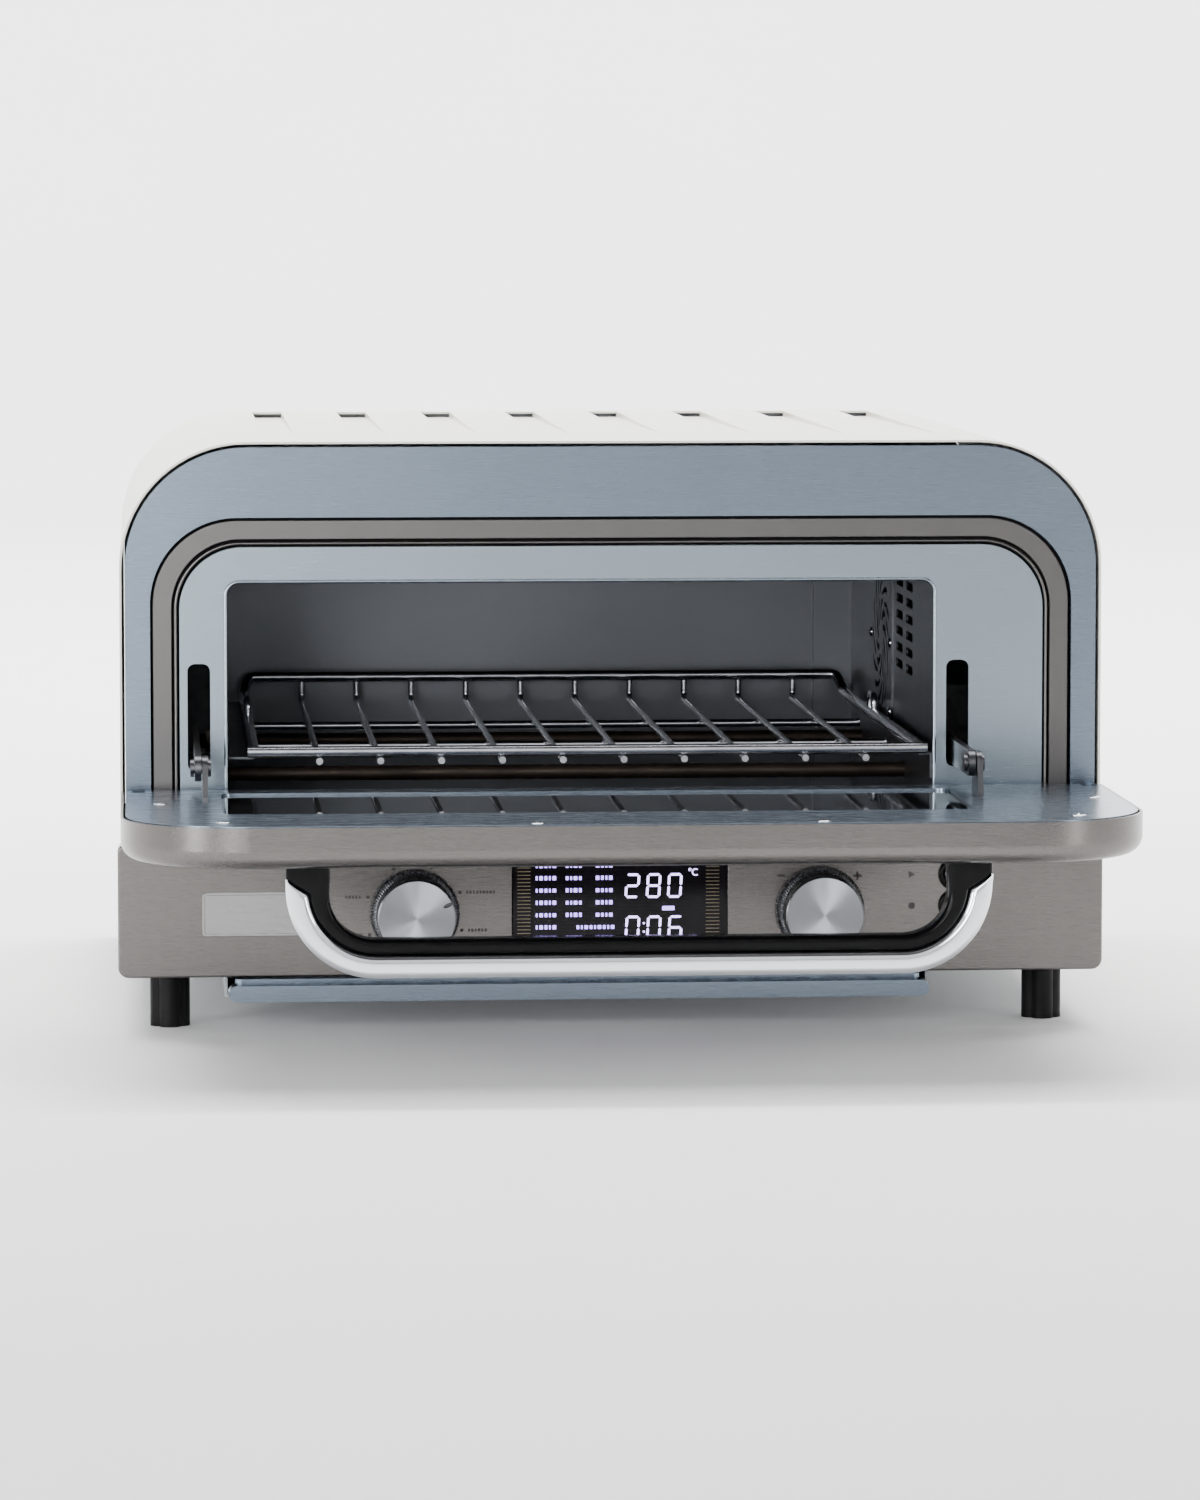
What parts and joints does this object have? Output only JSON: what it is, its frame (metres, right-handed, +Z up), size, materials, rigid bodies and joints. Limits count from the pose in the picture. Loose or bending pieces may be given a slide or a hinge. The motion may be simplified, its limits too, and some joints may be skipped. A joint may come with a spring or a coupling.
{
  "type": "countertop pizza oven",
  "caption": "Countertop pizza and toaster oven with a drop-down glazed door standing open, a wire rack, a digital control panel with knobs and buttons, and a crumb tray.",
  "frame": {"origin": "on the table, midway between the sides and midway between the open door's free edge and the back of the shell", "axes": "+Z up, -Y towards the cook (the open door reaches out along -Y), +X to the cook's right"},
  "size_m": [0.46, 0.57, 0.275],
  "materials": {
    "cream_enamel": "smooth cream paint, soft gloss",
    "stainless": "fine brushed, reflective",
    "brushed_trim": "horizontal brush, warm grey",
    "dark_steel": "plain sheet, slightly darkened by heat",
    "galvanised": "plain zinc-coated sheet",
    "chrome_wire": "bright plated",
    "fixings": "bright plated",
    "heater_sheath": "dull, browned by heat",
    "ceramic": "matt, unglazed",
    "aluminium": "spun face and machined sides",
    "black_plastic": "matt black",
    "display_black": "gloss black",
    "circuit_green": "glass-fibre board",
    "tinted_glass": "clear, faintly grey",
    "black_rubber": "moulded, matt"
  },
  "bodies": {
    "oven_body": {"outer_shell": "cream_enamel", "rear_panel": "galvanised", "cord_gland": "black_plastic", "rear_screws": "fixings", "base_plate": "galvanised", "feet": "black_rubber", "front_fascia": "stainless", "recess_channel": "brushed_trim", "inner_front_plate": "stainless", "cavity_side_left": "dark_steel", "cavity_side_right": "dark_steel", "cavity_roof": "dark_steel", "cavity_rear_wall": "dark_steel", "temperature_probe": "fixings", "control_bulkhead": "galvanised", "rack_rails": "dark_steel", "upper_elements": "heater_sheath", "lower_elements": "heater_sheath", "element_insulators": "ceramic", "fan_guard": "dark_steel", "guard_screws": "fixings", "fan_housing": "galvanised", "fan_motor": "galvanised", "control_panel": "brushed_trim", "badge_plate": "aluminium", "display_glass": "display_black", "display_module": "black_plastic", "control_board": "circuit_green", "selector_switch": "black_plastic", "dial_encoder": "black_plastic", "button_bezels": "black_plastic", "push_switches": "black_plastic", "power_board": "circuit_green", "pivot_brackets": "galvanised", "arm_guides": "galvanised", "tray_rails": "galvanised"},
    "door": {"door_outer_skin": "brushed_trim", "door_pivot_pins": "fixings", "door_inner_panel": "stainless", "door_glass_inner": "tinted_glass", "door_glass_outer": "tinted_glass", "window_spacer": "black_rubber", "door_screws": "fixings", "hinge_ears": "stainless", "arm_pins": "fixings", "handle_grip": "chrome_wire", "handle_insert": "black_plastic"},
    "arm_left": {"hinge_arm_left": "stainless"},
    "arm_right": {"hinge_arm_right": "stainless"},
    "fan": {"fan_shaft": "fixings", "convection_fan": "aluminium"},
    "selector": {"selector_knob": "aluminium", "selector_spindle": "fixings"},
    "dial": {"dial_knob": "aluminium", "dial_spindle": "fixings"},
    "start_key": {"start_button": "fixings"},
    "cancel_key": {"cancel_button": "fixings"},
    "crumb_drawer": {"crumb_tray": "stainless"},
    "rack": {"rack_frame": "chrome_wire", "rack_grid": "chrome_wire"}
  },
  "joints": [
    {"name": "door_hinge", "type": "hinge", "parent": "oven_body", "child": "door", "pos_m": [0, -0.1189, 0.1021], "axis": [-1, 0, 0], "range_deg": [0, 90]},
    {"name": "arm_left_pivot", "type": "hinge", "parent": "door", "child": "arm_left", "pos_m": [-0.193, -0.162, 0.1296], "axis": [-1, 0, 0], "range_deg": [-80, 1]},
    {"name": "arm_right_pivot", "type": "hinge", "parent": "door", "child": "arm_right", "pos_m": [0.16, -0.162, 0.1296], "axis": [-1, 0, 0], "range_deg": [-80, 1]},
    {"name": "selector_turn", "type": "hinge", "parent": "oven_body", "child": "selector", "pos_m": [-0.0924, -0.12, 0.0556], "axis": [0, -1, 0], "range_deg": [-150, 150]},
    {"name": "dial_turn", "type": "hinge", "parent": "oven_body", "child": "dial", "pos_m": [0.0968, -0.12, 0.0556], "axis": [0, -1, 0], "continuous": true},
    {"name": "start_press", "type": "slide", "parent": "oven_body", "child": "start_key", "axis": [0, 1, 0], "range_m": [0, 0.0012], "stiffness_N_per_m": 400},
    {"name": "cancel_press", "type": "slide", "parent": "oven_body", "child": "cancel_key", "axis": [0, 1, 0], "range_m": [0, 0.0012], "stiffness_N_per_m": 400},
    {"name": "fan_spin", "type": "hinge", "parent": "oven_body", "child": "fan", "pos_m": [0.16, 0.102, 0.168], "axis": [1, 0, 0], "continuous": true},
    {"name": "rack_slide", "type": "slide", "parent": "oven_body", "child": "rack", "axis": [0, 1, 0], "range_m": [-0.2, 0]},
    {"name": "tray_slide", "type": "slide", "parent": "oven_body", "child": "crumb_drawer", "axis": [0, 1, 0], "range_m": [-0.2, 0]}
  ],
  "couplings": [
    {"joint": "arm_left_pivot", "follows": "door_hinge", "ratio": -0.881},
    {"joint": "arm_right_pivot", "follows": "door_hinge", "ratio": -0.881}
  ]
}
